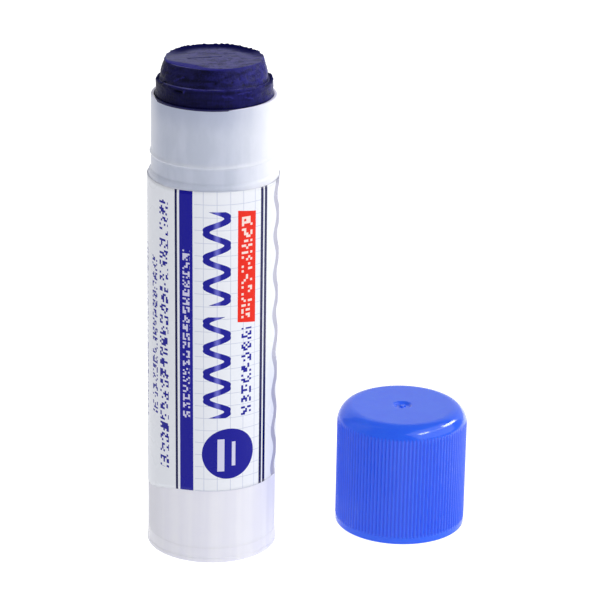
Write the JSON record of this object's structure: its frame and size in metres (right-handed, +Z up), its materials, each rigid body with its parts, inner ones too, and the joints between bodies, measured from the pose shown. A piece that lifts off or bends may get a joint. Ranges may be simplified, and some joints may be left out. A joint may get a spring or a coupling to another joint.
{
  "type": "glue stick",
  "caption": "Round twist-up glue stick, open, with its ribbed push-on cap standing beside it; turning the foot raises or lowers the glue.",
  "frame": {"origin": "on the barrel's axis, on the flat underside of the dial, which is the surface the stick stands on", "axes": "+Z up along the barrel towards the glue; +X towards the side on which the cap stands"},
  "size_m": [0.0607, 0.0343, 0.0944],
  "materials": {
    "barrel_plastic": "milky translucent polypropylene, smooth satin",
    "label_film": "printed film label, clear over-laminate",
    "dial_plastic": "milky translucent polypropylene, smooth satin",
    "inner_plastic": "natural polypropylene, unpolished",
    "glue": "firm waxy blue-violet glue, worn and smeared at its end",
    "cap_plastic": "opaque blue polypropylene, soft gloss, fine upright ribs"
  },
  "bodies": {
    "stick": {"barrel": "barrel_plastic", "label": "label_film"},
    "foot": {"dial": "dial_plastic", "spindle": "inner_plastic"},
    "lift": {"carrier": "inner_plastic", "glue": "glue"},
    "cap": {"cap": "cap_plastic"}
  },
  "joints": [
    {"name": "dial_turn", "type": "hinge", "parent": "stick", "child": "foot", "pos_m": [0, 0, 0], "axis": [0, 0, 1], "range_deg": [-864.1, 2995.3]},
    {"name": "carrier_slide", "type": "slide", "parent": "stick", "child": "lift", "axis": [0, 0, 1], "range_m": [-0.012, 0.0416]},
    {"name": "cap_lift", "type": "slide", "parent": "stick", "child": "cap", "axis": [0, 0, 1], "range_m": [0, 0.137]}
  ],
  "couplings": [
    {"joint": "dial_turn", "follows": "carrier_slide", "rad_per_m": 1256.6}
  ]
}
